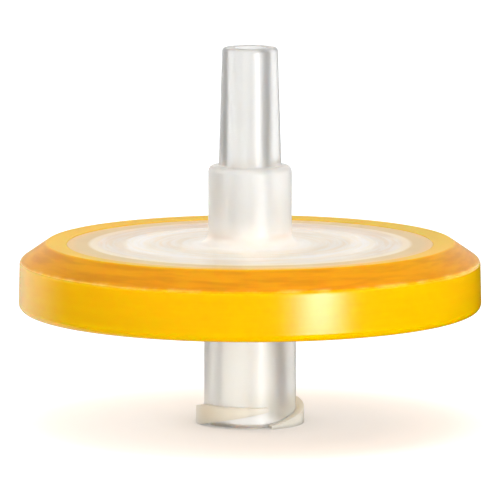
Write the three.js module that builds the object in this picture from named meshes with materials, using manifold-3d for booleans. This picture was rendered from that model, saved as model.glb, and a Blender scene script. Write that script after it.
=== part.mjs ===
// A disposable syringe filter with a 25 mm membrane. The membrane is clamped between an inlet half,
// with a female luer lock hub, and an outlet half, with a male luer slip cone. A coloured band
// moulded round both flanges holds the halves shut.
// Millimetres, +Z up. The origin is on the axis at the inlet's open face, and the outlet is on top.

import * as THREE from "three";
import { mergeVertices, toCreasedNormals } from "three/addons/utils/BufferGeometryUtils.js";
import Module from "manifold-3d";

const wasm = await Module();
wasm.setup();

// Facets
const SEGMENTS = 64; // round every turned piece
const CORNER_STEP = THREE.MathUtils.degToRad(30); // largest turn between points of a rounded corner
const CREASE = THREE.MathUtils.degToRad(32); // faces that meet at less than this are shaded as one

// Luer fittings
const LUER_TAPER = 0.06; // diameter lost per length, on the cone and in the socket
const CONE_TIP_DIAMETER = 4.0;
const CONE_LENGTH = 8.5;
const CONE_TIP_ROUND = 0.25;
const OUTLET_BORE_DIAMETER = 2.2;
const SOCKET_MOUTH_DIAMETER = 4.3;
const SOCKET_DEPTH = 8.0;
const SOCKET_CHAMFER = 0.2;
const SOCKET_FLOOR = 2.05; // from the end of the socket to the inlet chamber
const INLET_BORE_DIAMETER = 2.2; // through the socket's floor

// Locking lugs: a right-hand double-start thread, cut off flat at the hub's face and above
const LUG_STARTS = 2;
const LUG_REACH = 0.595; // out from the hub
const LUG_LEAD = 5.0;
const LUG_THICKNESS = 1.44; // along the axis, before the lug is cut off flat
const LUG_BAND = 1.55; // height at which every lug is cut off
const LUG_START_HEIGHT = 0.25; // of the upper flank, where a lug starts
const LUG_SWEEP = THREE.MathUtils.degToRad(176);
const FIRST_LUG_ANGLE = THREE.MathUtils.degToRad(-66); // from +X, where the first lug starts
const LUG_ROOT = 0.4; // how deep a lug is set into the hub's wall
const LUG_STEPS = 32;

// Stems
const COLLAR_STEP = 0.755; // shoulder between the root of the cone and the wider collar below it
const COLLAR_LENGTH = 5.7;
const COLLAR_ROUND = 0.45;
const COLLAR_FILLET = 0.95;
const HUB_WALL = 1.165; // round the mouth of the socket
const HUB_FILLET = 0.9;

// Membrane, and the lands that clamp its edge
const MEMBRANE_RADIUS = 12.5;
const MEMBRANE_THICKNESS = 0.2;
const MEMBRANE_CLEARANCE = 0.15; // round its edge, in the pocket that centres it
const CLAMP_WIDTH = 1.0; // of the membrane's edge that the lands hold
const POCKET_RIM = 2.55; // wall round the pocket, on which the two halves meet

// Discs
const INLET_WALL = 1.6;
const OUTLET_WALL = 1.6;
const FLANGE_WIDTH = 2.0; // edge of each disc that the band's lips cover
const FLANGE_SETBACK = 1.1; // from a disc's face back to its flange
const RAISED_RING_RADIUS = 8.4; // low ring on the outlet face
const RAISED_RING_WIDTH = 0.9;
const RAISED_RING_HEIGHT = 0.13;

// Chambers
const FEED_RIB_HEIGHT = 0.55; // depth of the inlet chamber
const FEED_RIB_WIDTH = 0.6;
const FEED_RIBS = 12; // long ribs, with a short one between each two
const FEED_RIB_START = 3.0; // radius at which the long ribs start
const SHORT_RIB_START = 7.5;
const FEED_RIB_GAP = 1.0; // left open between the ribs' outer ends and the land
const SUPPORT_HEIGHT = 0.6; // depth of the outlet chamber
const SUPPORT_RING_WIDTH = 0.6;
const SUPPORT_RING_PITCH = 1.5;
const FIRST_SUPPORT_RADIUS = 2.6; // middle of the innermost support ring
const DRAIN_CHANNELS = 8;
const DRAIN_WIDTH = 0.9;

// Band
const BAND_WALL = 1.52; // outside the flanges, at the foot of the band's side
const BAND_DRAFT = THREE.MathUtils.degToRad(1.5);
const BAND_PROUD_ABOVE = 0.14; // above the outlet face
const BAND_PROUD_BELOW = 0.2; // below the inlet face
const BAND_RIM_WIDTH = 1.46; // flat top, between the outlet face and the bevel
const BAND_BEVEL_DROP = 1.34; // from the rim down to the side
const BAND_RIM_ROUND = 0.15;
const BAND_SHOULDER_ROUND = 0.45;
const BAND_FOOT_ROUND = 0.55;
const BAND_CLEARANCE = 0.02; // between the band and the flanges that it grips

// Radii of the discs, from the membrane out
const chamberRadius = MEMBRANE_RADIUS - CLAMP_WIDTH;
const pocketRadius = MEMBRANE_RADIUS + MEMBRANE_CLEARANCE;
const flangeRadius = pocketRadius + POCKET_RIM;
const faceRadius = flangeRadius - FLANGE_WIDTH;
const bandRadius = flangeRadius + BAND_WALL;

// Radii of the luer fittings at a depth, and of what is built round them
const socketRadius = (depth) => (SOCKET_MOUTH_DIAMETER - LUER_TAPER * depth) / 2;
const coneRadius = (depth) => (CONE_TIP_DIAMETER + LUER_TAPER * depth) / 2;
const hubRadius = socketRadius(0) + HUB_WALL;
const collarRadius = coneRadius(CONE_LENGTH) + COLLAR_STEP;

// Levels on the axis, from the bottom up
const inletFloor = SOCKET_DEPTH + SOCKET_FLOOR;
const inletFace = inletFloor - INLET_WALL;
const inletFlange = inletFace + FLANGE_SETBACK;
const membraneBottom = inletFloor + FEED_RIB_HEIGHT;
const membraneTop = membraneBottom + MEMBRANE_THICKNESS;
const outletCeiling = membraneTop + SUPPORT_HEIGHT;
const outletFace = outletCeiling + OUTLET_WALL;
const outletFlange = outletFace - FLANGE_SETBACK;
const collarTop = outletFace + COLLAR_LENGTH;
const coneTip = collarTop + CONE_LENGTH;

// Points of a closed outline in (radius, height). A corner's third number rounds it to that radius.
// Outlines run anticlockwise, up the outside and down the inside, and start at a sharp corner.
function outline(corners) {
  const points = corners.flatMap(([r, z, round = 0], i) => {
    const corner = new THREE.Vector2(r, z);
    if (round === 0) return [corner];
    const back = new THREE.Vector2(...corners.at(i - 1)).sub(corner).normalize();
    const ahead = new THREE.Vector2(...corners[(i + 1) % corners.length]).sub(corner).normalize();
    const half = back.angleTo(ahead) / 2;
    const inward = back.clone().add(ahead).normalize();
    const centre = corner.clone().addScaledVector(inward, round / Math.sin(half));
    const reach = round / Math.tan(half);
    const start = corner.clone().addScaledVector(back, reach).sub(centre);
    const turn = Math.sign(ahead.cross(back)) * (Math.PI - 2 * half);
    const steps = Math.ceil(Math.abs(turn) / CORNER_STEP - 1e-6);
    return Array.from({ length: steps + 1 }, (_, k) =>
      start.clone().rotateAround(new THREE.Vector2(), (turn * k) / steps).add(centre),
    );
  });
  return [...points, points[0].clone()];
}

// The ring that an outline sweeps when it turns about the Z axis.
function turned(corners) {
  return solid(new THREE.LatheGeometry(outline(corners), SEGMENTS).rotateX(Math.PI / 2));
}

// A ring of rectangular section.
function ring(innerRadius, outerRadius, bottom, top) {
  return turned([
    [innerRadius, bottom],
    [outerRadius, bottom],
    [outerRadius, top],
    [innerRadius, top],
  ]);
}

// A manifold-3d solid of a closed geometry.
function solid(geometry) {
  const bare = geometry.clone();
  bare.deleteAttribute("normal");
  bare.deleteAttribute("uv");
  const merged = mergeVertices(bare);
  return new wasm.Manifold(
    new wasm.Mesh({
      numProp: 3,
      vertProperties: merged.getAttribute("position").array,
      triVerts: new Uint32Array(merged.index.array),
    }),
  );
}

// A named mesh of a solid.
function piece(name, made, material) {
  const { vertProperties, triVerts } = made.getMesh();
  const geometry = new THREE.BufferGeometry();
  geometry.setAttribute("position", new THREE.BufferAttribute(vertProperties, 3));
  geometry.setIndex(new THREE.BufferAttribute(triVerts, 1));
  const mesh = new THREE.Mesh(toCreasedNormals(geometry, CREASE), material);
  mesh.name = name;
  return mesh;
}

// All the given solids joined into one.
function joined(solids) {
  return solids.reduce((whole, next) => whole.add(next));
}

// Straight bars that radiate from the axis, count of them, the first one turned by the angle.
function radialBars(count, angle, from, to, width, bottom, top) {
  return joined(
    Array.from({ length: count }, (_, i) =>
      solid(
        new THREE.BoxGeometry(to - from, width, top - bottom)
          .translate((from + to) / 2, 0, (bottom + top) / 2)
          .rotateZ(angle + (i * 2 * Math.PI) / count),
      ),
    ),
  );
}

// One locking lug: a sector of a ring, lifted along the helix, then cut off flat below and above.
function lug(angle) {
  const outer = hubRadius + LUG_REACH;
  const inner = hubRadius - LUG_ROOT;
  const sector = new THREE.Shape();
  sector.absarc(0, 0, outer, -LUG_SWEEP / 2, LUG_SWEEP / 2, false);
  sector.absarc(0, 0, inner, LUG_SWEEP / 2, -LUG_SWEEP / 2, true);
  const rib = new THREE.ExtrudeGeometry(sector, {
    depth: LUG_THICKNESS,
    bevelEnabled: false,
    curveSegments: LUG_STEPS / 2,
  });
  const place = rib.getAttribute("position");
  const start = LUG_START_HEIGHT - LUG_THICKNESS;
  for (let i = 0; i < place.count; i++) {
    const turn = Math.atan2(place.getY(i), place.getX(i)) + LUG_SWEEP / 2;
    place.setZ(i, place.getZ(i) + start + (LUG_LEAD * turn) / (2 * Math.PI));
  }
  const band = ring(inner / 2, 2 * outer, 0, LUG_BAND);
  return solid(rib.rotateZ(angle + LUG_SWEEP / 2)).intersect(band);
}

function inletHousing() {
  const boreRadius = INLET_BORE_DIAMETER / 2;
  const shell = turned([
    [socketRadius(0) + SOCKET_CHAMFER, 0],
    [hubRadius, 0],
    [hubRadius, inletFace, HUB_FILLET],
    [faceRadius, inletFace],
    [faceRadius, inletFlange],
    [flangeRadius, inletFlange],
    [flangeRadius, membraneTop],
    [pocketRadius, membraneTop],
    [pocketRadius, membraneBottom],
    [chamberRadius, membraneBottom],
    [chamberRadius, inletFloor],
    [boreRadius, inletFloor],
    [boreRadius, SOCKET_DEPTH],
    [socketRadius(SOCKET_DEPTH), SOCKET_DEPTH],
    [socketRadius(SOCKET_CHAMFER), SOCKET_CHAMFER],
  ]);

  // Ribs spread the flow over the membrane and stand on the floor, rooted in the wall below it.
  const ribEnd = chamberRadius - FEED_RIB_GAP;
  const ribRoot = inletFloor - INLET_WALL / 2;
  const feedRibs = [
    [0, FEED_RIB_START],
    [Math.PI / FEED_RIBS, SHORT_RIB_START],
  ].map(([angle, start]) =>
    radialBars(FEED_RIBS, angle, start, ribEnd, FEED_RIB_WIDTH, ribRoot, membraneBottom),
  );

  const lugs = Array.from({ length: LUG_STARTS }, (_, i) =>
    lug(FIRST_LUG_ANGLE + (i * 2 * Math.PI) / LUG_STARTS),
  );
  return joined([shell, ...feedRibs, ...lugs]);
}

function outletHousing() {
  const boreRadius = OUTLET_BORE_DIAMETER / 2;
  const shell = turned([
    [boreRadius, outletCeiling],
    [chamberRadius, outletCeiling],
    [chamberRadius, membraneTop],
    [flangeRadius, membraneTop],
    [flangeRadius, outletFlange],
    [faceRadius, outletFlange],
    [faceRadius, outletFace],
    [RAISED_RING_RADIUS + RAISED_RING_WIDTH / 2, outletFace],
    [RAISED_RING_RADIUS, outletFace + RAISED_RING_HEIGHT],
    [RAISED_RING_RADIUS - RAISED_RING_WIDTH / 2, outletFace],
    [collarRadius, outletFace, COLLAR_FILLET],
    [collarRadius, collarTop, COLLAR_ROUND],
    [coneRadius(CONE_LENGTH), collarTop],
    [coneRadius(0), coneTip, CONE_TIP_ROUND],
    [boreRadius, coneTip],
  ]);

  // Rings carry the membrane, and channels cut across them drain to the bore. They hang from the
  // ceiling, rooted in the wall above it.
  const ringRoot = outletCeiling + OUTLET_WALL / 2;
  const reach = chamberRadius - SUPPORT_RING_WIDTH - FIRST_SUPPORT_RADIUS;
  const ringCount = 1 + Math.floor(reach / SUPPORT_RING_PITCH);
  const rings = Array.from({ length: ringCount }, (_, i) => {
    const inner = FIRST_SUPPORT_RADIUS + i * SUPPORT_RING_PITCH - SUPPORT_RING_WIDTH / 2;
    return ring(inner, inner + SUPPORT_RING_WIDTH, membraneTop, ringRoot);
  });
  const channels = radialBars(
    DRAIN_CHANNELS, 0, 0, chamberRadius, DRAIN_WIDTH, membraneTop - SUPPORT_HEIGHT, outletCeiling,
  );
  return shell.add(joined(rings).subtract(channels));
}

function membrane() {
  const disc = new THREE.CylinderGeometry(
    MEMBRANE_RADIUS, MEMBRANE_RADIUS, MEMBRANE_THICKNESS, SEGMENTS,
  );
  return solid(disc.rotateX(Math.PI / 2).translate(0, 0, (membraneBottom + membraneTop) / 2));
}

// The band grips both flanges in a C-shaped section.
function overmouldedBand() {
  const top = outletFace + BAND_PROUD_ABOVE;
  const bottom = inletFace - BAND_PROUD_BELOW;
  const shoulder = top - BAND_BEVEL_DROP;
  const shoulderRadius = bandRadius - (shoulder - bottom) * Math.tan(BAND_DRAFT);
  const lipRadius = faceRadius + BAND_CLEARANCE;
  const gripRadius = flangeRadius + BAND_CLEARANCE;
  return turned([
    [lipRadius, bottom],
    [bandRadius, bottom, BAND_FOOT_ROUND],
    [shoulderRadius, shoulder, BAND_SHOULDER_ROUND],
    [faceRadius + BAND_RIM_WIDTH, top, BAND_RIM_ROUND],
    [lipRadius, top],
    [lipRadius, outletFlange + BAND_CLEARANCE],
    [gripRadius, outletFlange + BAND_CLEARANCE],
    [gripRadius, inletFlange - BAND_CLEARANCE],
    [lipRadius, inletFlange - BAND_CLEARANCE],
  ]);
}

const clearPlastic = { color: 0xe9e6dd, roughness: 0.32, metalness: 0 };
const filter = new THREE.Group();
filter.name = "syringe_filter";
filter.add(
  piece("inlet_housing", inletHousing(), new THREE.MeshStandardMaterial(clearPlastic)),
  piece("outlet_housing", outletHousing(), new THREE.MeshStandardMaterial(clearPlastic)),
  piece(
    "membrane",
    membrane(),
    new THREE.MeshStandardMaterial({ color: 0xf7f6f2, roughness: 0.9, metalness: 0 }),
  ),
  piece(
    "overmoulded_band",
    overmouldedBand(),
    new THREE.MeshStandardMaterial({ color: 0xffb800, roughness: 0.28, metalness: 0 }),
  ),
);

export default filter;
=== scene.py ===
# %% [markdown]
# # A disposable syringe filter
# A syringe filter is three mouldings and a membrane. Two halves of natural polypropylene, one
# with a male luer cone and one with a female luer lock hub, clamp the membrane between them, and
# a yellow band is moulded round both. All of it is round, so most of this lesson turns outlines
# on a lathe. The solid model of the filter comes first, because it fixes every size and place.
# Each piece below is a finer copy of one of its solids, in metres, in the same place.

import math

import bmesh
import bpy
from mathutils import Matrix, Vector


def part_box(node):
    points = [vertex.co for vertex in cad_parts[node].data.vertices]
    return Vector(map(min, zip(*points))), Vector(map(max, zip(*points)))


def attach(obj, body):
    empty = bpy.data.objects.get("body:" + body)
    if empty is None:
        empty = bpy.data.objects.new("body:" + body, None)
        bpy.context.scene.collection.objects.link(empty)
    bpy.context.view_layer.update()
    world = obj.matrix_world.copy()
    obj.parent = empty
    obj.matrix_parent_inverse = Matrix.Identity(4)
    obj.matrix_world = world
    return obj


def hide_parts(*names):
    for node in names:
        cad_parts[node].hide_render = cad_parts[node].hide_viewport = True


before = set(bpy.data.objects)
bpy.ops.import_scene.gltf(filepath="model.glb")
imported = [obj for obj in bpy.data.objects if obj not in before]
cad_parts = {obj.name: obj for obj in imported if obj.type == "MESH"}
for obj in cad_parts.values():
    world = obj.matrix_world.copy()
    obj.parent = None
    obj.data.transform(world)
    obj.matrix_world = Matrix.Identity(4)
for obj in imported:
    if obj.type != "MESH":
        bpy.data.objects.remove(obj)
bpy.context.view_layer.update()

# %% [markdown]
# ## Sizes
# The levels and outer radii are read from the solid model, so the pieces always fit it. What the
# boxes of the solids can't say, such as walls, tapers and roundings, is given here in
# millimetres, as a toolmaker would have it on the mould drawing.

# %% Levels and radii from the solid model
MM = 0.001

inlet_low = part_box("inlet_housing")[0] / MM
outlet_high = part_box("outlet_housing")[1] / MM
membrane_low, membrane_high = (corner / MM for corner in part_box("membrane"))
band_low, band_high = (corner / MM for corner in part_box("overmoulded_band"))

FLANGE_RADIUS = outlet_high.x
BAND_RADIUS = band_high.x
MEMBRANE_RADIUS = membrane_high.x
BAND_BOTTOM, BAND_TOP = band_low.z, band_high.z
MEMBRANE_BOTTOM, MEMBRANE_TOP = membrane_low.z, membrane_high.z
HUB_BOTTOM, CONE_TIP = inlet_low.z, outlet_high.z
print(f"band {2 * BAND_RADIUS:.2f} mm wide, filter {CONE_TIP - HUB_BOTTOM:.2f} mm tall")

# %% [markdown]
# ### Walls and steps
# The walls are as thick as such mouldings have them: about a millimetre and a half over the
# chambers, so that they don't bulge under pressure, and thinner where only a lip has to hold.

# %% Walls and steps of the mouldings, in millimetres
FLANGE_WIDTH = 2.0  # what the lips of the band cover
FLANGE_SETBACK = 1.1
DISC_WALL = 1.6
CLAMP_WIDTH = 1.0  # how much of the membrane's edge the two halves hold
POCKET_CLEARANCE = 0.15
BAND_CLEARANCE = 0.02
OUTLET_CHAMBER_HEIGHT = 0.6
INLET_CHAMBER_DEPTH = 0.55

FACE_RADIUS = FLANGE_RADIUS - FLANGE_WIDTH
CHAMBER_RADIUS = MEMBRANE_RADIUS - CLAMP_WIDTH
POCKET_RADIUS = MEMBRANE_RADIUS + POCKET_CLEARANCE
CEILING = MEMBRANE_TOP + OUTLET_CHAMBER_HEIGHT
FLOOR = MEMBRANE_BOTTOM - INLET_CHAMBER_DEPTH
OUTLET_FACE = CEILING + DISC_WALL
INLET_FACE = FLOOR - DISC_WALL
OUTLET_FLANGE = OUTLET_FACE - FLANGE_SETBACK
INLET_FLANGE = INLET_FACE + FLANGE_SETBACK
print(f"disc faces at {INLET_FACE:.2f} and {OUTLET_FACE:.2f} mm, open out to {FACE_RADIUS:.2f} mm")

# %% [markdown]
# ### Luer tapers
# Luer cones and sockets all over the world taper by 6 per cent: for each millimetre of length,
# the diameter changes by 0.06 mm. So one diameter and a depth give the radius anywhere, and two
# small functions say it once for the male cone and once for the female socket.

# %% Cone, collar and hub, in millimetres
LUER_TAPER = 0.06  # diameter lost per length
CONE_TIP_DIAMETER = 4.0
CONE_LENGTH = 8.5
SOCKET_MOUTH_DIAMETER = 4.3
SOCKET_DEPTH = 8.0
OUTLET_BORE_DIAMETER = INLET_BORE_DIAMETER = 2.2
COLLAR_STEP = 0.755
HUB_WALL = 1.165


def cone_radius(depth):
    """Radius of the male cone at a depth below its tip."""
    return (CONE_TIP_DIAMETER + LUER_TAPER * depth) / 2


def socket_radius(depth):
    """Radius of the female socket at a depth above its mouth."""
    return (SOCKET_MOUTH_DIAMETER - LUER_TAPER * depth) / 2


COLLAR_TOP = CONE_TIP - CONE_LENGTH
COLLAR_RADIUS = cone_radius(CONE_LENGTH) + COLLAR_STEP
HUB_RADIUS = socket_radius(0) + HUB_WALL
print(f"collar {2 * COLLAR_RADIUS:.2f} mm wide up to {COLLAR_TOP:.2f} mm")
print(f"hub {2 * HUB_RADIUS:.2f} mm wide")

# %% [markdown]
# ## Turning an outline
# Every round moulding starts as a closed outline in the plane of radius and height. Its corners
# are vertices joined by edges. A corner with a rounding is bevelled as a vertex, which replaces
# it with an arc, and then the whole outline is spun about the axis. A bevel wants to know how far
# from the corner its arc begins, so the radius is turned into that distance with the corner's
# half angle. A Screw modifier could turn it too, but a spin in mesh code leaves faces that later
# cells can cut.

# %% Helpers for turned pieces
AROUND = 192  # steps of a full turn
ARC_SEGMENTS = 6  # of each rounded corner
MERGE_DISTANCE = 1e-7  # metres


def point(radius, height, angle=0.0):
    """A point in metres from a radius and a height in millimetres."""
    return Vector((radius * math.cos(angle), radius * math.sin(angle), height)) * MM


def turned(corners):
    """A bmesh of the solid that an outline of (radius, height, rounding) corners sweeps."""
    bm = bmesh.new()
    verts = [bm.verts.new(point(corner[0], corner[1])) for corner in corners]
    for start, end in zip(verts, verts[1:] + verts[:1]):
        if start.co.x > 0 or end.co.x > 0:  # an edge along the axis would sweep nothing
            bm.edges.new((start, end))
    reaches = []
    for i, corner in enumerate(corners):
        back = verts[i - 1].co - verts[i].co
        ahead = verts[(i + 1) % len(verts)].co - verts[i].co
        rounding = corner[2] * MM if len(corner) > 2 else 0.0
        reaches.append(rounding / math.tan(back.angle(ahead) / 2))
    for vert, reach in zip(verts, reaches):
        if reach > 0:
            bmesh.ops.bevel(
                bm,
                geom=[vert],
                offset=reach,
                offset_type="OFFSET",
                affect="VERTICES",
                segments=ARC_SEGMENTS,
                profile=0.5,
                material=-1,
            )
    bmesh.ops.spin(
        bm,
        geom=bm.verts[:] + bm.edges[:],
        cent=(0, 0, 0),
        axis=(0, 0, 1),
        angle=2 * math.pi,
        steps=AROUND,
        use_merge=True,
    )
    bmesh.ops.remove_doubles(bm, verts=bm.verts[:], dist=MERGE_DISTANCE)
    bmesh.ops.recalc_face_normals(bm, faces=bm.faces[:])
    return bm


print(f"a full turn has {AROUND} steps, a rounding has {ARC_SEGMENTS}")

# %% [markdown]
# ## From a bmesh to a piece
# Every piece is finished in the same way, so one function does it. Faces are shaded smooth, but
# an edge that bends by more than 32 degrees stays sharp, and a Weighted Normal modifier keeps the
# big flat faces flat beside their small roundings. The object stays at the origin, because its
# place is already in its mesh. The function prints the volume and counts open edges: a closed
# piece has none.

# %% Helper that makes a finished piece
SHARP_ANGLE = math.radians(32)


def finished(name, bm, material):
    """Turns a bmesh into an object at the origin, shaded smooth but for its sharp edges."""
    for face in bm.faces:
        face.smooth = True
    for edge in bm.edges:
        edge.smooth = len(edge.link_faces) == 2 and edge.calc_face_angle(0) < SHARP_ANGLE
    open_edges = sum(not edge.is_manifold for edge in bm.edges)
    volume = bm.calc_volume() / MM**3
    mesh = bpy.data.meshes.new(name)
    bm.to_mesh(mesh)
    bm.free()
    mesh.materials.append(material)
    piece = bpy.data.objects.new(name, mesh)
    bpy.context.scene.collection.objects.link(piece)
    weighted = piece.modifiers.new("flat faces stay flat", "WEIGHTED_NORMAL")
    weighted.keep_sharp = True
    print(f"{name}: {len(mesh.polygons)} faces, {volume:.1f} mm3, {open_edges} open edges")
    return piece


print(f"edges that bend by more than {math.degrees(SHARP_ANGLE):.0f} degrees stay sharp")

# %% [markdown]
# ## Materials
# Each material is named for what the real one is. Colours are written as sRGB hex values, as a
# colour card gives them, and one function turns them into the linear numbers that Blender wants.
# Another function adds a node with its settings and its links, so that a material reads from top
# to bottom in the order in which it is thought out. Where a node is given as a value, its first
# output is meant. A Mix node uses the same socket names more than once, so they go by number: 0
# is the factor, 2 and 3 are two numbers, 6 and 7 are two colours, and output 2 is their mixture.

# %% Helpers for materials


def colour(hex_code):
    """Linear RGBA of an sRGB hex colour."""
    parts = [int(hex_code[i : i + 2], 16) / 255 for i in (1, 3, 5)]
    return (*(c / 12.92 if c <= 0.04045 else ((c + 0.055) / 1.055) ** 2.4 for c in parts), 1.0)


def add_node(tree, kind, sockets=None, **settings):
    """Adds a node. Settings are its properties, and sockets are its values or links, by name."""
    made = tree.nodes.new(kind)
    for name, value in settings.items():
        setattr(made, name, value)
    for socket, value in (sockets or {}).items():
        if isinstance(value, bpy.types.Node):
            value = value.outputs[0]
        if isinstance(value, bpy.types.NodeSocket):
            tree.links.new(value, made.inputs[socket])
        else:
            made.inputs[socket].default_value = value
    return made


def new_material(name):
    """A material with an empty node tree, and that tree."""
    material = bpy.data.materials.new(name)
    material.use_nodes = True
    material.node_tree.nodes.clear()
    return material, material.node_tree


print("an amber #FFC700 as linear light:", [round(value, 3) for value in colour("#FFC700")])

# %% [markdown]
# ## Patterns that follow a turned piece
# Everything here is round, so its patterns follow two numbers: how far a point is from the axis,
# and how high it is. Both come from the Object coordinates, which are in metres from the origin.
# A table then names the zones of a piece, each with the two places, in millimetres, between which
# it fades in. A Map Range node with a smooth step makes the mask of each zone.

# %% Helper for places on a turned piece


def cylinder_coordinates(tree):
    """The Object coordinates, the distance from the axis and the height, as sockets."""
    place = add_node(tree, "ShaderNodeTexCoord").outputs["Object"]
    flat = add_node(tree, "ShaderNodeVectorMath", {0: place, 1: (1, 1, 0)}, operation="MULTIPLY")
    radius = add_node(tree, "ShaderNodeVectorMath", {0: flat}, operation="LENGTH")
    height = add_node(tree, "ShaderNodeSeparateXYZ", {"Vector": place})
    return {
        "place": place,
        "radius": radius.outputs["Value"],
        "height": height.outputs["Z"],
    }


print("patterns on turned pieces can read the place, the radius and the height")

# %% [markdown]
# ## Lamps behind clear plastic
# Light from a lamp reaches the inside of a clear moulding through its walls. A renderer can't aim
# at a lamp through a bending surface, so the inside would stay dark. The trick is to let the rays
# that look for lamps, which Light Path calls shadow rays, pass through as if the wall were a thin
# veil of its own colour. All other rays see the true plastic.

# %% Helper for plastics that let lamps through


def lets_lamps_through(tree, shader, veil):
    """Shows a shader, but lets the rays that look for lamps pass, tinted by a veil."""
    rays = add_node(tree, "ShaderNodeLightPath")
    clear = add_node(tree, "ShaderNodeBsdfTransparent", {"Color": veil})
    both = add_node(
        tree, "ShaderNodeMixShader", {0: rays.outputs["Is Shadow Ray"], 1: shader, 2: clear}
    )
    add_node(tree, "ShaderNodeOutputMaterial", {"Surface": both})


print("plastics can now let lamps through")

# %% [markdown]
# ## Natural polypropylene
# The housings are moulded in polypropylene without pigment. It is clear but hazy, because its
# crystals scatter light. So it is part glass and part milk: a Principled shader with some
# transmission, whose rest is subsurface scattering. How clear it is changes with the wall: the thin
# cone is clearest, the foot of the collar is a thick lump and looks milky, and the ring on the disc
# is frosted. The disc's rim, welded to the band, is painted honey: painted light, for the band's
# amber glow seen through the clear plastic.

# %% Natural polypropylene: zones and how clear they are
HOUSING_ZONES = {  # measure, where it fades in and where it is whole, in millimetres
    "in the lugs": ("radius", 3.35, 3.5),
    "above the hub": ("height", 8.5, 9.5),
    "on the collar": ("height", 13.2, 15.0),
    "on the cone": ("height", 18.3, 18.9),
    "on the disc": ("radius", 3.8, 5.6),
    "in the ring": ("radius", 7.0, 7.8),
    "out of the ring": ("radius", 8.9, 9.3),
    "inside the weld": ("radius", 10.85, 11.15),
    "on the weld": ("radius", 11.4, 11.8),
    "at the lip": ("radius", 12.3, 13.0),
}
HUB_CLARITY = 0.83
CLARITIES = {
    "in the lugs": 0.1,
    "above the hub": 0.4,
    "on the collar": 0.6,
    "on the cone": 0.86,
    "on the disc": 0.7,
    "in the ring": 0.5,
    "out of the ring": 0.7,
    "inside the weld": 0.5,
    "on the weld": 0.3,
}
housing_plastic, tree = new_material("natural_polypropylene")
places = cylinder_coordinates(tree)
zones = {
    name: add_node(
        tree,
        "ShaderNodeMapRange",
        {"Value": places[measure], "From Min": start * MM, "From Max": end * MM},
        interpolation_type="SMOOTHSTEP",
        label=name,
    )
    for name, (measure, start, end) in HOUSING_ZONES.items()
}
clarity = HUB_CLARITY
for zone, value in CLARITIES.items():
    clarity = add_node(tree, "ShaderNodeMix", {0: zones[zone], 2: clarity, 3: value})
print("clarity from hub to weld:", HUB_CLARITY, *CLARITIES.values())

# %% [markdown]
# ### Haze and turning marks
# Flow in the mould leaves a soft cloudiness a few millimetres wide. The mould's face over the
# disc was cut on a lathe, so the disc shows turning marks as well: a noise in four dimensions
# that changes fast with the radius and slowly along an arc. Real marks are a few hundredths of a
# millimetre apart. These are drawn coarser, so that they show.

# %% Natural polypropylene: haze and turning marks
HAZE_GRAIN = 3.0
TURNING_PITCH = 0.3
TURNING_ARC = 3.5  # how long a mark runs before it fades, in millimetres
SHARPENED = {"From Min": 0.35, "From Max": 0.65}  # the part of a noise that becomes streaks
scaled = add_node(
    tree,
    "ShaderNodeMapping",
    {"Vector": places["place"], "Scale": [1 / (HAZE_GRAIN * MM)] * 3},
)
haze = add_node(tree, "ShaderNodeTexNoise", {"Vector": scaled, "Scale": 1.0, "Detail": 3.0})
rings = add_node(
    tree,
    "ShaderNodeMath",
    {0: places["radius"], 1: 1 / (TURNING_PITCH * MM)},
    operation="MULTIPLY",
)
arcs = add_node(
    tree,
    "ShaderNodeVectorMath",
    {0: places["place"], 1: [1 / (TURNING_ARC * MM)] * 3},
    operation="MULTIPLY",
)
turning = add_node(
    tree,
    "ShaderNodeTexNoise",
    {"Vector": arcs, "W": rings, "Scale": 1.0, "Detail": 2.0},
    noise_dimensions="4D",
)
marks = add_node(
    tree,
    "ShaderNodeMapRange",
    {"Value": turning, **SHARPENED},
    interpolation_type="SMOOTHSTEP",
)
print(f"haze {HAZE_GRAIN} mm wide, turning marks {TURNING_PITCH} mm apart, as drawn")

# %% [markdown]
# ### Tints, with painted light
# Each zone has two near colours. On the disc the turning marks choose between them, and
# everywhere else the haze does. The zones are laid over one another in the order of the table.
# The tints hold painted light besides the plastic's own colour: the hub is painted lighter and the
# collar and cone greyer, for how brightly each is lit, and the ring on the disc whiter, as a
# painted highlight. The cream of the lugs and the disc, deepening to honey at the rim, is painted
# light as well: it stands in for the band's amber glow inside the clear plastic.

# %% Natural polypropylene: tints
# Painted light: lighter hub, greyer collar and cone, whiter ring as a painted highlight, and cream
# to honey for the band's amber glow.
HOUSING_TINTS_WITH_PAINTED_LIGHT = {
    "hub": ("#FAF8F2", "#FFFEFB"),
    "in the lugs": ("#EDE6D4", "#F8F3E5"),
    "above the hub": ("#F0EEEA", "#FAF8F4"),
    "on the collar": ("#DFE0E0", "#EDEEEE"),
    "on the cone": ("#E8E8E7", "#F4F4F3"),
    "on the disc": ("#F4E7D0", "#FFFFFA"),
    "in the ring": ("#FBF2E0", "#FFFFFF"),
    "out of the ring": ("#F4E7D0", "#FFFFFA"),
    "inside the weld": ("#F4E6C2", "#FFF6DE"),
    "on the weld": ("#CDAC5A", "#DEC272"),
    "at the lip": ("#DDB458", "#E6BE5E"),
}
TURNED_ZONES = ("on the disc", "in the ring", "out of the ring")
hazes = {name: marks if name in TURNED_ZONES else haze for name in HOUSING_TINTS_WITH_PAINTED_LIGHT}
tint = None
for zone, (hazy, clear) in HOUSING_TINTS_WITH_PAINTED_LIGHT.items():
    shade = add_node(
        tree,
        "ShaderNodeMix",
        {0: hazes[zone], 6: colour(hazy), 7: colour(clear)},
        data_type="RGBA",
    ).outputs[2]
    if tint:
        shade = add_node(
            tree, "ShaderNodeMix", {0: zones[zone], 6: tint, 7: shade}, data_type="RGBA"
        ).outputs[2]
    tint = shade
print(len(HOUSING_TINTS_WITH_PAINTED_LIGHT), "zones with two tints each")

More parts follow.
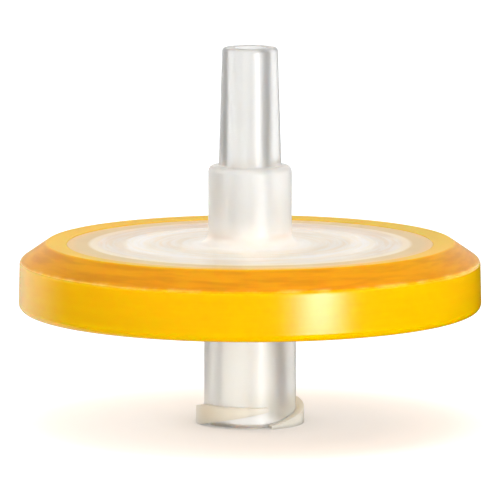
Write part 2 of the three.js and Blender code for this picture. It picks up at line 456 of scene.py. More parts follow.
# %% [markdown]
# ### Skin
# The mould is satin steel, which leaves its finish on the plastic, a little rougher on the collar.
# The tubes are drawn off their cores, so fine lines run along them, and the disc has only the soft
# waviness of its shrinking. Two Bump nodes in a chain hold the waves and the lines. The lines are
# stretched along the height, and the disc's mask keeps them off the disc.

# %% Natural polypropylene: skin
SKIN_GRAIN = 1.6
SKIN_DEPTH = 0.005
DRAW_LINE_WIDTH = 0.35
DRAW_LINE_LENGTH = 10.0
DRAW_LINE_DEPTH = 0.003
HOUSING_ROUGHNESS = 0.28
COLLAR_ROUGHNESS = 0.36
ROUGHNESSES = {
    "above the hub": COLLAR_ROUGHNESS,
    "on the cone": HOUSING_ROUGHNESS,
    "on the disc": HOUSING_ROUGHNESS,
}
scaled = add_node(
    tree, "ShaderNodeMapping", {"Vector": places["place"], "Scale": [1 / (SKIN_GRAIN * MM)] * 3}
)
waves = add_node(tree, "ShaderNodeTexNoise", {"Vector": scaled, "Scale": 1.0})
scaled = add_node(
    tree,
    "ShaderNodeMapping",
    {
        "Vector": places["place"],
        "Scale": [1 / (size * MM) for size in (DRAW_LINE_WIDTH, DRAW_LINE_WIDTH, DRAW_LINE_LENGTH)],
    },
)
lines = add_node(tree, "ShaderNodeTexNoise", {"Vector": scaled, "Scale": 1.0})
lines = add_node(tree, "ShaderNodeMix", {0: zones["on the disc"], 2: lines, 3: 0.5})
bump = add_node(
    tree, "ShaderNodeBump", {"Height": waves, "Strength": 1.0, "Distance": SKIN_DEPTH * MM}
)
bump = add_node(
    tree,
    "ShaderNodeBump",
    {"Height": lines, "Strength": 1.0, "Distance": DRAW_LINE_DEPTH * MM, "Normal": bump},
)
satin = HOUSING_ROUGHNESS
for zone, value in ROUGHNESSES.items():
    satin = add_node(tree, "ShaderNodeMix", {0: zones[zone], 2: satin, 3: value})
print(f"draw lines {DRAW_LINE_WIDTH} mm wide, waves {SKIN_GRAIN} mm wide")

# %% [markdown]
# ### The shader
# Polypropylene bends light with an IOR of 1.49. Its milky share scatters light over about a
# millimetre and a half, red a little further than blue.

# %% Natural polypropylene: shader
HOUSING_IOR = 1.49
HOUSING_SCATTER = 1.5
HOUSING_SPREAD = (1.0, 0.9, 0.8)  # how far red, green and blue go, as shares of the scatter
HOUSING_VEIL = "#F9F8F6"
shader = add_node(
    tree,
    "ShaderNodeBsdfPrincipled",
    {
        "Base Color": tint,
        "Roughness": satin,
        "IOR": HOUSING_IOR,
        "Transmission Weight": clarity,
        "Subsurface Weight": 1.0,
        "Subsurface Radius": HOUSING_SPREAD,
        "Subsurface Scale": HOUSING_SCATTER * MM,
        "Normal": bump,
    },
)
lets_lamps_through(tree, shader, colour(HOUSING_VEIL))
print("natural polypropylene:", len(tree.nodes), "nodes")

# %% [markdown]
# ## Amber polypropylene
# The band is polypropylene with a transparent yellow dye, injected round the two halves. Light
# goes some millimetres into it, so it glows from within. Its bevel is painted a browner amber:
# painted shade, for the weaker light that falls on the bevel. The melt flowed round the ring, so
# its
# marks run round it too: noise squeezed in height. Pale patches on the shoulder are a painted
# highlight, for light glinting on its rounding.

# %% Amber polypropylene: zones
SHOULDER = 11.8
SHOULDER_FADE = 0.12
# Reach and core of the shoulder's pale painted highlight, in millimetres.
GLINT_REACH = 0.2
GLINT_CORE = 0.02
BAND_ZONES = {
    "over the shoulder": ("height", SHOULDER - SHOULDER_FADE, SHOULDER + SHOULDER_FADE),
    "outside the rim": ("radius", 14.5, 14.9),
    "rubbed from": ("height", SHOULDER - GLINT_REACH, SHOULDER - GLINT_CORE),
    "rubbed to": ("height", SHOULDER + GLINT_REACH, SHOULDER + GLINT_CORE),
}
band_plastic, tree = new_material("amber_polypropylene")
places = cylinder_coordinates(tree)
zones = {
    name: add_node(
        tree,
        "ShaderNodeMapRange",
        {"Value": places[measure], "From Min": start * MM, "From Max": end * MM},
        interpolation_type="SMOOTHSTEP",
        label=name,
    )
    for name, (measure, start, end) in BAND_ZONES.items()
}
# Where the bevel's painted shade goes.
bevel_shade_mask = add_node(
    tree,
    "ShaderNodeMath",
    {0: zones["over the shoulder"], 1: zones["outside the rim"]},
    operation="MULTIPLY",
)
# Where on the shoulder the painted highlight may fall.
shoulder_glint = add_node(
    tree,
    "ShaderNodeMath",
    {0: zones["rubbed from"], 1: zones["rubbed to"]},
    operation="MULTIPLY",
)
print(f"bevel above {SHOULDER} mm")

# %% [markdown]
# ### Flow marks and the painted glint on the shoulder
# One noise, long round the band and short in height, draws the flow marks. On the bevel a smooth
# step sharpens it into streaks. A second noise keeps the shoulder's pale painted highlight to
# patches, and the product of the two glint masks keeps it to the shoulder's edge.

# %% Amber polypropylene: flow marks and painted glint on the shoulder
FLOW_LENGTH = 4.0
FLOW_HEIGHT = 0.35
GLINT_LENGTH = 1.6
GLINT_PATCHES = {"From Min": 0.45, "From Max": 0.75, "To Max": 0.6}
scaled = add_node(
    tree,
    "ShaderNodeMapping",
    {
        "Vector": places["place"],
        "Scale": [1 / (size * MM) for size in (FLOW_LENGTH, FLOW_LENGTH, FLOW_HEIGHT)],
    },
)
flow = add_node(tree, "ShaderNodeTexNoise", {"Vector": scaled, "Scale": 1.0, "Detail": 4.0})
streaks = add_node(
    tree,
    "ShaderNodeMapRange",
    {"Value": flow, **SHARPENED},
    interpolation_type="SMOOTHSTEP",
)
scaled = add_node(
    tree, "ShaderNodeMapping", {"Vector": places["place"], "Scale": [1 / (GLINT_LENGTH * MM)] * 3}
)
patches = add_node(tree, "ShaderNodeTexNoise", {"Vector": scaled, "Scale": 1.0, "Detail": 5.0})
patches = add_node(
    tree,
    "ShaderNodeMapRange",
    {"Value": patches, **GLINT_PATCHES},
    interpolation_type="SMOOTHSTEP",
)
shoulder_glint = add_node(tree, "ShaderNodeMath", {0: shoulder_glint, 1: patches}, operation="MULTIPLY")
print(f"flow marks {FLOW_LENGTH} mm long and {FLOW_HEIGHT} mm high")

# %% [markdown]
# ### Tints of the band
# The side and the bevel have two near ambers each, which the flow marks mix; the bevel's are
# darker, as painted shade. The shoulder's pale painted highlight is laid over both.

# %% Amber polypropylene: tints
SIDE_TINTS = ("#FFC700", "#FFD300")
# The bevel's ambers are darker than the side's: painted shade.
BEVEL_SHADE_TINTS = ("#D09600", "#E4AA00")
# A pale amber painted on the shoulder as a highlight.
SHOULDER_GLINT_TINT = "#FFE680"
side = add_node(
    tree,
    "ShaderNodeMix",
    {0: flow, 6: colour(SIDE_TINTS[0]), 7: colour(SIDE_TINTS[1])},
    data_type="RGBA",
).outputs[2]
bevel = add_node(
    tree,
    "ShaderNodeMix",
    {0: streaks, 6: colour(BEVEL_SHADE_TINTS[0]), 7: colour(BEVEL_SHADE_TINTS[1])},
    data_type="RGBA",
).outputs[2]
tint = add_node(
    tree, "ShaderNodeMix", {0: bevel_shade_mask, 6: side, 7: bevel}, data_type="RGBA"
).outputs[2]
# The painted highlight goes over the ambers.
tint = add_node(
    tree, "ShaderNodeMix", {0: shoulder_glint, 6: tint, 7: colour(SHOULDER_GLINT_TINT)}, data_type="RGBA"
).outputs[2]
print("ambers of the side:", *SIDE_TINTS, "and of the bevel:", *BEVEL_SHADE_TINTS)

# %% [markdown]
# ### Skin and shader of the band
# The side comes glossy from the mould, with the finest orange peel. The bevel and the rim are
# duller. Red light scatters furthest in the yellow dye and blue hardly at all, which keeps the
# colour deep.

# %% Amber polypropylene: skin and shader
PEEL_GRAIN = 0.5
PEEL_DEPTH = 0.002
SIDE_ROUGHNESS = 0.2
BEVEL_ROUGHNESS = 0.42
AMBER_IOR = 1.49
AMBER_CLARITY = 0.4
AMBER_SCATTER = 3.0
AMBER_SPREAD = (1.0, 0.35, 0.05)
AMBER_VEIL = "#E7CFAA"
scaled = add_node(
    tree, "ShaderNodeMapping", {"Vector": places["place"], "Scale": [1 / (PEEL_GRAIN * MM)] * 3}
)
peel = add_node(tree, "ShaderNodeTexNoise", {"Vector": scaled, "Scale": 1.0})
bump = add_node(
    tree, "ShaderNodeBump", {"Height": peel, "Strength": 1.0, "Distance": PEEL_DEPTH * MM}
)
satin = add_node(
    tree,
    "ShaderNodeMix",
    {0: zones["over the shoulder"], 2: SIDE_ROUGHNESS, 3: BEVEL_ROUGHNESS},
)
shader = add_node(
    tree,
    "ShaderNodeBsdfPrincipled",
    {
        "Base Color": tint,
        "Roughness": satin,
        "IOR": AMBER_IOR,
        "Transmission Weight": AMBER_CLARITY,
        "Subsurface Weight": 1.0,
        "Subsurface Radius": AMBER_SPREAD,
        "Subsurface Scale": AMBER_SCATTER * MM,
        "Normal": bump,
    },
)
lets_lamps_through(tree, shader, colour(AMBER_VEIL))
print("amber polypropylene:", len(tree.nodes), "nodes")

# %% [markdown]
# ## Membrane
# The membrane is a thin sheet of porous polymer, cast and dried, matt and off-white. Its tints are
# painted a warm cream: painted light, for the amber glow that the band sheds inside the filter. Its
# pores are less than a thousandth of a millimetre wide, far too fine to show, so what shows is the
# faint cloudiness of the sheet and a felt of fibres, which is drawn at 0.2 mm.

# %% Membrane polymer
CLOUD_GRAIN = 1.5
FIBRE_GRAIN = 0.2
FIBRE_DEPTH = 0.01
MEMBRANE_ROUGHNESS = 0.85
# Both tints are warmer than the sheet's own colour: painted amber light from the band.
MEMBRANE_TINTS_WITH_AMBER_GLOW = ("#FFE2B0", "#FFF0D2")
membrane_white, tree = new_material("membrane_polymer")
place = add_node(tree, "ShaderNodeTexCoord").outputs["Object"]
scaled = add_node(
    tree, "ShaderNodeMapping", {"Vector": place, "Scale": [1 / (CLOUD_GRAIN * MM)] * 3}
)
clouds = add_node(tree, "ShaderNodeTexNoise", {"Vector": scaled, "Scale": 1.0, "Detail": 4.0})
tint = add_node(
    tree,
    "ShaderNodeMix",
    {0: clouds, 6: colour(MEMBRANE_TINTS_WITH_AMBER_GLOW[0]), 7: colour(MEMBRANE_TINTS_WITH_AMBER_GLOW[1])},
    data_type="RGBA",
).outputs[2]
scaled = add_node(
    tree, "ShaderNodeMapping", {"Vector": place, "Scale": [1 / (FIBRE_GRAIN * MM)] * 3}
)
fibres = add_node(tree, "ShaderNodeTexNoise", {"Vector": scaled, "Scale": 1.0})
bump = add_node(
    tree, "ShaderNodeBump", {"Height": fibres, "Strength": 1.0, "Distance": FIBRE_DEPTH * MM}
)
shader = add_node(
    tree,
    "ShaderNodeBsdfPrincipled",
    {"Base Color": tint, "Roughness": MEMBRANE_ROUGHNESS, "Normal": bump},
)
add_node(tree, "ShaderNodeOutputMaterial", {"Surface": shader})
print("membrane polymer:", len(tree.nodes), "nodes")

# %% [markdown]
# ## The outlet half
# The upper half is a disc with a stepped collar and the male luer cone, and a bore runs down
# through them to the chamber over the membrane. It is one moulding, so it is one outline, turned.
# The outline starts at the bore, follows the ceiling of the chamber out to the flange, and comes
# back over the face, the collar and the cone. A very low ring stands on the face, where the real
# one has its mark moulded in a ring. Extra corners on the ceiling mark where its support rings
# begin and end.

# %% Outlet half: the turned shell
EDGE_ROUND = 0.05  # of an edge that the mould leaves nearly sharp
MOUTH_ROUND = 0.08
RING_ROUND = 0.3
COLLAR_ROUND = 0.45
COLLAR_FILLET = 0.95
CONE_FOOT_ROUND = 0.12
CONE_TIP_ROUND = 0.25
SUPPORT_RING_WIDTH = 0.6
SUPPORT_RING_PITCH = 1.5
FIRST_SUPPORT_RADIUS = 2.6
RAISED_RING_RADIUS = 8.2
RAISED_RING_WIDTH = 1.8
RAISED_RING_HEIGHT = 0.05
PARTING_GAP = 0.01  # keeps faces that touch from flickering through each other

support_span = CHAMBER_RADIUS - SUPPORT_RING_WIDTH - FIRST_SUPPORT_RADIUS
support_count = 1 + math.floor(support_span / SUPPORT_RING_PITCH)
support_radii = [FIRST_SUPPORT_RADIUS + i * SUPPORT_RING_PITCH for i in range(support_count)]
ring_edges = [r + side * SUPPORT_RING_WIDTH / 2 for r in support_radii for side in (-1, 1)]

outlet = turned(
    [
        (OUTLET_BORE_DIAMETER / 2, CEILING),
        *[(radius, CEILING) for radius in ring_edges],
        (CHAMBER_RADIUS, CEILING),
        (CHAMBER_RADIUS, MEMBRANE_TOP + PARTING_GAP),
        (FLANGE_RADIUS, MEMBRANE_TOP + PARTING_GAP),
        (FLANGE_RADIUS, OUTLET_FLANGE),
        (FACE_RADIUS, OUTLET_FLANGE),
        (FACE_RADIUS, OUTLET_FACE, EDGE_ROUND),
        (RAISED_RING_RADIUS + RAISED_RING_WIDTH / 2, OUTLET_FACE, RING_ROUND),
        (RAISED_RING_RADIUS, OUTLET_FACE + RAISED_RING_HEIGHT, RING_ROUND),
        (RAISED_RING_RADIUS - RAISED_RING_WIDTH / 2, OUTLET_FACE, RING_ROUND),
        (COLLAR_RADIUS, OUTLET_FACE, COLLAR_FILLET),
        (COLLAR_RADIUS, COLLAR_TOP, COLLAR_ROUND),
        (cone_radius(CONE_LENGTH), COLLAR_TOP, CONE_FOOT_ROUND),
        (cone_radius(0), CONE_TIP, CONE_TIP_ROUND),
        (OUTLET_BORE_DIAMETER / 2, CONE_TIP, MOUTH_ROUND),
    ]
)
print(f"{support_count} support rings, outlet shell of {len(outlet.faces)} faces")

# %% [markdown]
# ### Helpers for rings and ribs
# Pressure would press the membrane flat against the chambers and choke it, so low rings and ribs
# hold it off. All of them stand on a flat face. So they are made by cutting that face, picking
# the parts that belong to a ring or rib, and extruding them. Three small helpers do this. They
# gather edges as the keys of a dict, which keep their order, where a set would shuffle them.

# %% Helpers that pick, cut and raise flat faces
LEVEL_TOLERANCE = 0.001  # millimetres
FLAT = 0.99  # how much of a flat face's normal points up or down, at least


def faces_at(bm, height, inner, outer):
    """Flat faces at a height whose middles lie between two radii."""
    return [
        face
        for face in bm.faces
        if abs(face.normal.z) > FLAT
        and abs(face.calc_center_median().z - height * MM) < LEVEL_TOLERANCE * MM
        and inner * MM < face.calc_center_median().xy.length < outer * MM
    ]


def cut(bm, faces, plane_point, plane_normal):
    """Cuts only the given faces where a plane crosses them."""
    geometry = dict.fromkeys(part for face in faces for part in (face, *face.edges, *face.verts))
    bmesh.ops.bisect_plane(
        bm,
        geom=list(geometry),
        dist=MERGE_DISTANCE,
        plane_co=plane_point,
        plane_no=plane_normal,
    )


def raised(bm, faces, offset):
    """Extrudes faces into one block each and moves their tops by the offset, in millimetres."""
    edges = dict.fromkeys(edge for face in faces for edge in face.edges)
    made = bmesh.ops.extrude_face_region(bm, geom=[*faces, *edges])
    tops = [part for part in made["geom"] if isinstance(part, bmesh.types.BMVert)]
    bmesh.ops.translate(bm, verts=tops, vec=(0, 0, offset * MM))


print("flat faces at the ceiling:", len(faces_at(outlet, CEILING, 0, CHAMBER_RADIUS)))

# %% [markdown]
# ### Support rings and drain channels
# On the outlet side six rings hold the membrane, and eight channels cut through them lead the
# liquid to the bore. The ceiling is cut where the channels run, and the faces that lie on a ring
# but in no channel are extruded down to the membrane.

# %% Outlet half: support rings and drain channels
DRAIN_CHANNELS = 8
DRAIN_WIDTH = 0.9

drain_sides = []  # across each pair of opposite channels
for i in range(DRAIN_CHANNELS // 2):
    angle = i * 2 * math.pi / DRAIN_CHANNELS
    drain_sides.append(Vector((-math.sin(angle), math.cos(angle), 0)))
for across in drain_sides:
    for side in (-1, 1):
        ceiling = faces_at(outlet, CEILING, ring_edges[0], ring_edges[-1])
        cut(outlet, ceiling, across * side * DRAIN_WIDTH / 2 * MM, across)

ring_faces = []
for inner, outer in zip(ring_edges[::2], ring_edges[1::2]):
    for face in faces_at(outlet, CEILING, inner, outer):
        middle = face.calc_center_median()
        aside = Vector((middle.x, middle.y, 0))
        if all(abs(aside.dot(across)) > DRAIN_WIDTH / 2 * MM for across in drain_sides):
            ring_faces.append(face)
raised(outlet, ring_faces, MEMBRANE_TOP + PARTING_GAP - CEILING)
bmesh.ops.recalc_face_normals(outlet, faces=outlet.faces[:])

outlet_piece = finished("outlet_half", outlet, housing_plastic)
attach(outlet_piece, "root")
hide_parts("outlet_housing")

# %% [markdown]
# ## The inlet half
# The lower half is a disc with the female luer hub under it. A tapered socket runs up the hub and
# ends in a narrow bore into the chamber below the membrane. A shallow pocket in its top face
# holds the membrane's edge. Again one outline gives the shell.

# %% Inlet half: the turned shell
SOCKET_CHAMFER = 0.2
SOCKET_END_ROUND = 0.1
HUB_FILLET = 0.9

inlet = turned(
    [
        (socket_radius(0) + SOCKET_CHAMFER, HUB_BOTTOM, EDGE_ROUND),
        (HUB_RADIUS, HUB_BOTTOM, MOUTH_ROUND),
        (HUB_RADIUS, INLET_FACE, HUB_FILLET),
        (FACE_RADIUS, INLET_FACE, EDGE_ROUND),
        (FACE_RADIUS, INLET_FLANGE),
        (FLANGE_RADIUS, INLET_FLANGE),
        (FLANGE_RADIUS, MEMBRANE_TOP),
        (POCKET_RADIUS, MEMBRANE_TOP),
        (POCKET_RADIUS, MEMBRANE_BOTTOM),
        (CHAMBER_RADIUS, MEMBRANE_BOTTOM),
        (CHAMBER_RADIUS, FLOOR),
        (INLET_BORE_DIAMETER / 2, FLOOR),
        (INLET_BORE_DIAMETER / 2, HUB_BOTTOM + SOCKET_DEPTH),
        (socket_radius(SOCKET_DEPTH), HUB_BOTTOM + SOCKET_DEPTH, SOCKET_END_ROUND),
        (socket_radius(SOCKET_CHAMFER), HUB_BOTTOM + SOCKET_CHAMFER, EDGE_ROUND),
    ]
)
print(f"inlet shell of {len(inlet.faces)} faces")

# %% [markdown]
# ### Feed ribs
# Twelve long and twelve short ribs stand on the floor of the inlet chamber and spread the liquid
# under the membrane. Each is a rectangle that four planes cut out of the floor, and all the
# pieces of floor inside it rise together. The ribs are straight, so they cross the ring-shaped
# faces of the floor, and cutting those faces first is what keeps the mesh closed.

# %% Inlet half: feed ribs
FEED_RIBS = 12
FEED_RIB_WIDTH = 0.6
LONG_RIB_START = 3.0
SHORT_RIB_START = 7.5
FEED_RIB_END = CHAMBER_RADIUS - 1.0
NEAR = math.radians(14)  # floor faces further round than this can't touch the rib


def floor_near(bm, direction):
    """Faces of the chamber floor that lie in a direction from the axis."""
    return [
        face
        for face in faces_at(bm, FLOOR, INLET_BORE_DIAMETER / 2, CHAMBER_RADIUS)
        if Vector((*face.calc_center_median().xy, 0)).angle(direction, math.pi) < NEAR
    ]


def cut_rib(bm, angle, start):
    """Cuts a rib's rectangle out of the floor and returns the faces inside it."""
    along = Vector((math.cos(angle), math.sin(angle), 0))
    across = Vector((-math.sin(angle), math.cos(angle), 0))
    for side in (-1, 1):
        cut(bm, floor_near(bm, along), across * side * FEED_RIB_WIDTH / 2 * MM, across)
    for radius in (start, FEED_RIB_END):
        cut(bm, floor_near(bm, along), along * radius * MM, along)
    inside = []
    for face in floor_near(bm, along):
        middle = face.calc_center_median()
        if abs(middle.dot(across)) < FEED_RIB_WIDTH / 2 * MM and (
            start * MM < middle.dot(along) < FEED_RIB_END * MM
        ):
            inside.append(face)
    return inside


for i in range(2 * FEED_RIBS):
    start = SHORT_RIB_START if i % 2 else LONG_RIB_START
    raised(inlet, cut_rib(inlet, i * math.pi / FEED_RIBS, start), MEMBRANE_BOTTOM - FLOOR)
bmesh.ops.recalc_face_normals(inlet, faces=inlet.faces[:])
print(f"{2 * FEED_RIBS} ribs, {MEMBRANE_BOTTOM - FLOOR:.2f} mm high")

# %% [markdown]
# ### Locking lugs
# A luer lock hub has two lugs at its mouth, which screw into the collar of a syringe. Each is a
# short piece of thread: a rectangle swept half-way round the hub while it climbs with a lead of 5
# mm. Spin can climb as it turns, so it makes the thread in one call. Two flat cuts then trim the
# thread to the height of the lug, as the end of the real hub is flat, and their openings are
# filled.

# %% Inlet half: locking lugs
LUG_STARTS = 2
LUG_REACH = 0.595  # how far a lug stands out
LUG_ROOT = 0.4  # how far it goes into the hub's wall
LUG_LEAD = 5.0
LUG_THICKNESS = 1.44
LUG_HEIGHT = 1.55
LUG_START_HEIGHT = 0.25
LUG_SWEEP = math.radians(176)
FIRST_LUG_ANGLE = math.radians(-66)
LUG_STEPS = 96


def lug_section(bm, angle):
    """The face that is swept into a lug, hanging from the height at which the lug starts."""
    inner, outer = HUB_RADIUS - LUG_ROOT, HUB_RADIUS + LUG_REACH
    top = HUB_BOTTOM + LUG_START_HEIGHT
    bottom = top - LUG_THICKNESS
    corners = [(inner, bottom), (outer, bottom), (outer, top), (inner, top)]
    return bm.faces.new([bm.verts.new(point(r, z, angle)) for r, z in corners])


lugs = bmesh.new()
for i in range(LUG_STARTS):
    bmesh.ops.spin(
        lugs,
        geom=[lug_section(lugs, FIRST_LUG_ANGLE + i * 2 * math.pi / LUG_STARTS)],
        cent=(0, 0, 0),
        axis=(0, 0, 1),
        dvec=(0, 0, LUG_LEAD * MM * LUG_SWEEP / (2 * math.pi) / LUG_STEPS),
        angle=LUG_SWEEP,
        steps=LUG_STEPS,
        use_merge=False,
    )
bmesh.ops.recalc_face_normals(lugs, faces=lugs.faces[:])
for height, direction in ((HUB_BOTTOM, -1), (HUB_BOTTOM + LUG_HEIGHT, 1)):
    made = bmesh.ops.bisect_plane(
        lugs,
        geom=lugs.verts[:] + lugs.edges[:] + lugs.faces[:],
        dist=MERGE_DISTANCE / 10,
        plane_co=(0, 0, height * MM),
        plane_no=(0, 0, direction),
        clear_outer=True,
    )
    rim = [part for part in made["geom_cut"] if isinstance(part, bmesh.types.BMEdge)]
    bmesh.ops.holes_fill(lugs, edges=rim, sides=0)
bmesh.ops.recalc_face_normals(lugs, faces=lugs.faces[:])
print(f"{LUG_STARTS} lugs of {len(lugs.faces)} faces in all")

# %% [markdown]
# ### One moulding from two meshes
# Hub and lugs are one moulding, so no wall may be left between them: clear plastic would show it.
# A Boolean modifier with the exact solver joins the two closed meshes, and the result is read
# back into a bmesh. Both lugs go in at once, because a second union on the first would leave thin
# faces.

# %% Inlet half: hub and lugs joined


def joined(bm, other):
    """The union of two closed bmeshes, made by Blender's exact boolean."""
    objects = []
    for part in (bm, other):
        mesh = bpy.data.meshes.new("part")
        part.to_mesh(mesh)
        part.free()
        objects.append(bpy.data.objects.new("part", mesh))
        bpy.context.scene.collection.objects.link(objects[-1])
    union = objects[0].modifiers.new("union", "BOOLEAN")
    union.operation = "UNION"
    union.solver = "EXACT"
    union.object = objects[1]
    bpy.context.view_layer.update()
    result = bmesh.new()
    result.from_object(objects[0], bpy.context.evaluated_depsgraph_get())
    for part in objects:
        bpy.data.meshes.remove(part.data)
    return result


inlet_piece = finished("inlet_half", joined(inlet, lugs), housing_plastic)
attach(inlet_piece, "root")
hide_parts("inlet_housing")

# %% [markdown]
# ## The membrane
# The membrane is punched from a sheet, so it is a plain disc with barely rounded edges. Its
# outline ends on the axis, where the spin closes it to a point. It sits a hundredth of a
# millimetre clear of the halves that clamp it, so that no two faces share a plane.

# %% Membrane
MEMBRANE_ROUND = 0.02

membrane = turned(
    [
        (MEMBRANE_RADIUS, MEMBRANE_BOTTOM + PARTING_GAP, MEMBRANE_ROUND),
        (MEMBRANE_RADIUS, MEMBRANE_TOP - PARTING_GAP, MEMBRANE_ROUND),
        (0.0, MEMBRANE_TOP - PARTING_GAP),
        (0.0, MEMBRANE_BOTTOM + PARTING_GAP),
    ]
)
membrane_piece = finished("filter_membrane", membrane, membrane_white)
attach(membrane_piece, "root")
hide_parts("membrane")

# %% [markdown]
# ## The band
# The band is moulded round the flanges of both halves and locks them together, so its section is
# a C whose lips reach over them. Its side has a little draft, it ends above in a wide bevel and a
# rim, and the rim falls gently towards the clear face. Where the two mould halves met, a fine
# ridge runs round the side. All of it is in one outline.

# %% Band
BAND_DRAFT = math.radians(1.5)
BAND_RIM_WIDTH = 1.46
BAND_BEVEL_DROP = 1.34
BAND_DISH = 0.11
PARTING_LINE = 9.9
PARTING_RIDGE_HALF_WIDTH = 0.04
PARTING_RIDGE = 0.008
LOWER_LIP_ROUND = 0.08
LOWER_EDGE_ROUND = 0.55
SHOULDER_ROUND = 0.45
RIM_ROUND = 0.15
UPPER_LIP_ROUND = 0.03

shoulder = BAND_TOP - BAND_BEVEL_DROP
lip_radius = FACE_RADIUS + BAND_CLEARANCE
groove_radius = FLANGE_RADIUS + BAND_CLEARANCE


def side_point(height, stands_out=0.0):
    """A point on the band's drafted side."""
    return BAND_RADIUS - (height - BAND_BOTTOM) * math.tan(BAND_DRAFT) + stands_out, height


band = turned(
    [
        (lip_radius, BAND_BOTTOM, LOWER_LIP_ROUND),
        (BAND_RADIUS, BAND_BOTTOM, LOWER_EDGE_ROUND),
        side_point(PARTING_LINE - PARTING_RIDGE_HALF_WIDTH),
        side_point(PARTING_LINE, PARTING_RIDGE),
        side_point(PARTING_LINE + PARTING_RIDGE_HALF_WIDTH),
        (*side_point(shoulder), SHOULDER_ROUND),
        (FACE_RADIUS + BAND_RIM_WIDTH, BAND_TOP, RIM_ROUND),
        (lip_radius, BAND_TOP - BAND_DISH, UPPER_LIP_ROUND),
        (lip_radius, OUTLET_FLANGE + BAND_CLEARANCE),
        (groove_radius, OUTLET_FLANGE + BAND_CLEARANCE),
        (groove_radius, INLET_FLANGE - BAND_CLEARANCE),
        (lip_radius, INLET_FLANGE - BAND_CLEARANCE),
    ]
)
band_piece = finished("yellow_band", band, band_plastic)
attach(band_piece, "root")
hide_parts("overmoulded_band")

# %% [markdown]
# ## The studio
# The filter stands on a pale sheet before a white background. The sheet's own emission, which
# only the camera sees, lifts it to white without adding light to the filter. Near the foot, an
# Ambient Occlusion node strengthens the soft contact shadow that such a sheet shows under clear
# plastic. The sheet is hidden from mirrored rays and from rays through the plastic, which see the
# studio of the next cell instead.

# %% Floor
FLOOR_COLOUR = "#F2F2F0"
CONTACT_REACH = 3.5
CONTACT_SHADE = 0.5
FLOOR_GLOW = "#95979B"
FLOOR_HALF_WIDTH = 1.0  # metres

floor_mesh = bpy.data.meshes.new("floor")
floor_bm = bmesh.new()
bmesh.ops.create_grid(floor_bm, x_segments=1, y_segments=1, size=FLOOR_HALF_WIDTH)
floor_bm.to_mesh(floor_mesh)
floor_bm.free()
floor = bpy.data.objects.new("floor", floor_mesh)
bpy.context.scene.collection.objects.link(floor)

pale_sheet, tree = new_material("pale_sheet")
contact = add_node(tree, "ShaderNodeAmbientOcclusion", {"Distance": CONTACT_REACH * MM})
open_sky = add_node(
    tree, "ShaderNodeMapRange", {"Value": contact.outputs["AO"], "To Min": 1 - CONTACT_SHADE}
)
tint = add_node(
    tree,
    "ShaderNodeMix",
    {0: open_sky, 6: colour("#000000"), 7: colour(FLOOR_COLOUR)},
    data_type="RGBA",
).outputs[2]
glow = add_node(
    tree,
    "ShaderNodeMix",
    {0: open_sky, 6: colour("#000000"), 7: colour(FLOOR_GLOW)},
    data_type="RGBA",
).outputs[2]
sheet = add_node(tree, "ShaderNodeBsdfDiffuse", {"Color": tint})
lift = add_node(tree, "ShaderNodeEmission", {"Color": glow, "Strength": 1.0})
seen = add_node(tree, "ShaderNodeAddShader", {0: sheet, 1: lift})
rays = add_node(tree, "ShaderNodeLightPath")
surface = add_node(
    tree, "ShaderNodeMixShader", {0: rays.outputs["Is Camera Ray"], 1: sheet, 2: seen}
)
add_node(tree, "ShaderNodeOutputMaterial", {"Surface": surface})
floor_mesh.materials.append(pale_sheet)
floor.visible_glossy = False
floor.visible_transmission = False
print("floor:", tuple(floor.dimensions))

# %% [markdown]
# ### What the plastic mirrors and shows
# Clear plastic is drawn by what stands around it: a bright background fills it, and dark cards at
# the sides give it edges. Here the world is that studio, and Light Path tells it which rays ask.
# The camera sees plain white. Mirrored rays see the same white behind the filter and a dark room
# elsewhere. Rays through the plastic see white all round, a little brighter on the left, and a
# dark card on the right. Each line of the table is a smooth step along one axis of the direction:
# from where, to where, and the level at each end.

# %% World
SKY_STEPS = {
    "mirrored, to the front": ("Y", 0.2, 0.7, 0.05, 1.0),
    "mirrored, to the right": ("X", -0.6, 0.3, 1.0, 0.0),
    "mirrored, from below": ("Z", -0.08, 0.02, 0.0, 1.0),
    "mirrored, overhead": ("Z", 0.3, 0.5, 1.0, 0.05),
    "through, to the left": ("X", -0.8, 0.0, 1.35, 1.0),
    "through, to the right": ("X", 0.2, 0.65, 1.0, 0.0),
    "through, overhead": ("Z", 0.4, 0.8, 0.0, 1.0),
    "lit, from behind": ("Y", -0.3, 0.6, 0.6, 0.9),
}
world = bpy.data.worlds.new("studio")
bpy.context.scene.world = world
world.use_nodes = True
tree = world.node_tree
tree.nodes.clear()

direction = add_node(tree, "ShaderNodeTexCoord").outputs["Generated"]
axes = add_node(tree, "ShaderNodeSeparateXYZ", {"Vector": direction}).outputs
steps = {}
for name, (axis, start, end, first, last) in SKY_STEPS.items():
    steps[name] = add_node(
        tree,
        "ShaderNodeMapRange",
        {"Value": axes[axis], "From Min": start, "From Max": end, "To Min": first, "To Max": last},
        interpolation_type="SMOOTHSTEP",
        label=name,
    )
print(len(steps), "steps of the sky")

# %% [markdown]
# ### Which ray sees which level
# The steps are multiplied or mixed into one level for mirrored rays and one for rays through the
# plastic. Light Path then picks between them, the level that lights the surfaces, and plain white
# for the camera.

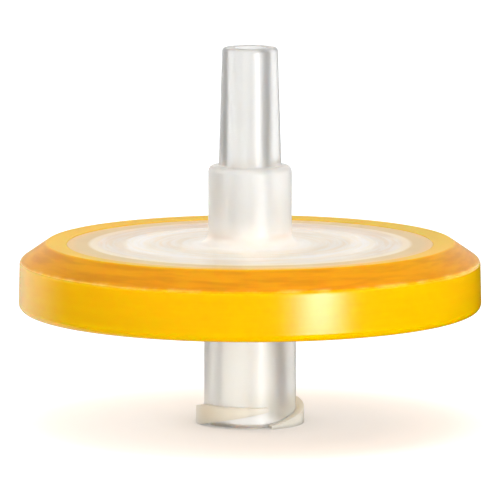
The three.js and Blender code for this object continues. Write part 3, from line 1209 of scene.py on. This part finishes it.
# %% World: levels by kind of ray
mirrored = add_node(
    tree,
    "ShaderNodeMix",
    {
        0: steps["mirrored, from below"],
        2: steps["mirrored, to the right"],
        3: steps["mirrored, overhead"],
    },
)
mirrored = add_node(
    tree,
    "ShaderNodeMath",
    {0: mirrored, 1: steps["mirrored, to the front"]},
    operation="MULTIPLY",
)
through = add_node(
    tree,
    "ShaderNodeMath",
    {0: steps["through, to the left"], 1: steps["through, to the right"]},
    operation="MULTIPLY",
)
through = add_node(tree, "ShaderNodeMix", {0: steps["through, overhead"], 2: through, 3: 1.0})
rays = add_node(tree, "ShaderNodeLightPath").outputs
level = steps["lit, from behind"]
for kind, seen in (("Glossy", mirrored), ("Transmission", through)):
    level = add_node(tree, "ShaderNodeMix", {0: rays[f"Is {kind} Ray"], 2: level, 3: seen})
level = add_node(tree, "ShaderNodeMix", {0: rays["Is Camera Ray"], 2: level, 3: 1.0})
sky = add_node(tree, "ShaderNodeBackground", {"Color": colour("#FFFFFF"), "Strength": level})
add_node(tree, "ShaderNodeOutputWorld", {"Surface": sky})
print("world:", len(tree.nodes), "nodes")

# %% [markdown]
# ### Lamps
# A softbox in front on the right gives the one bright reflection on the band. A real softbox is
# brighter in the middle, so three lamps of different widths stand one behind the other. They need
# a centimetre between them, because lamps in one plane hide each other. A long strip high on the
# left is mirrored too, as a faint sheen. A fill beside the softbox, a lamp on the left behind the
# filter and one overhead light the plastics, but no surface mirrors them.

# %% Lamps
# azimuth and elevation in degrees, distance, width and height in metres, watts, mirrored or not
LAMPS = {
    "key_wide": (34, -6, 0.50, 0.30, 0.20, 0.4, True),
    "key_middle": (34, -6, 0.51, 0.20, 0.20, 1.0, True),
    "key_core": (34, -6, 0.52, 0.10, 0.20, 1.8, True),
    "fill": (26, 8, 0.60, 0.40, 0.30, 1.85, False),
    "left": (-128, 8, 0.60, 0.30, 0.30, 0.8, False),
    "strip": (-88, 38, 0.50, 0.50, 0.12, 0.4, True),
    "top": (180, 88, 0.60, 0.35, 0.35, 1.2, False),
}
LAMP_AIM_HEIGHT = 12

lamp_aim = Vector((0, 0, LAMP_AIM_HEIGHT)) * MM
for name, (azimuth, elevation, distance, width, height, watts, shines) in LAMPS.items():
    lamp = bpy.data.lights.new(name, "AREA")
    lamp.shape = "RECTANGLE"
    lamp.size, lamp.size_y = width, height
    lamp.energy = watts
    az, el = math.radians(azimuth), math.radians(elevation)
    away = Vector((math.sin(az) * math.cos(el), -math.cos(az) * math.cos(el), math.sin(el)))
    softbox = bpy.data.objects.new(name, lamp)
    softbox.location = lamp_aim + away * distance
    softbox.rotation_euler = away.to_track_quat("Z", "Y").to_euler()
    softbox.visible_camera = False
    softbox.visible_transmission = False
    softbox.visible_glossy = shines
    bpy.context.scene.collection.objects.link(softbox)
print(f"{len(LAMPS)} lamps, {sum(row[5] for row in LAMPS.values()):.1f} W together")

# %% [markdown]
# ### Camera
# A long lens from just above the disc's height shows the filter as a catalogue does, with the
# face of the disc as a thin ellipse. The lens follows from the distance and the width of the view
# at the filter's axis. Clear plastic passes light on many times, so its paths get more bounces.

# %% Camera
CAMERA_PITCH = math.radians(7.85)
CAMERA_DISTANCE = 450
AIM_HEIGHT = 12.515
VIEW_WIDTH = 36.049
SENSOR_WIDTH = 36

camera_data = bpy.data.cameras.new("camera")
camera_data.sensor_width = SENSOR_WIDTH
camera_data.lens = SENSOR_WIDTH * CAMERA_DISTANCE / VIEW_WIDTH
camera = bpy.data.objects.new("camera", camera_data)
back = Vector((0, -math.cos(CAMERA_PITCH), math.sin(CAMERA_PITCH)))
camera.location = Vector((0, 0, AIM_HEIGHT)) * MM + back * CAMERA_DISTANCE * MM
camera.rotation_euler = back.to_track_quat("Z", "Y").to_euler()
bpy.context.scene.collection.objects.link(camera)
bpy.context.scene.camera = camera
bpy.context.scene.view_settings.view_transform = "Standard"

cycles = bpy.context.scene.cycles
cycles.max_bounces = 24
cycles.glossy_bounces = 12
cycles.transmission_bounces = 20
cycles.diffuse_bounces = 6
print(f"camera lens {camera_data.lens:.1f} mm")
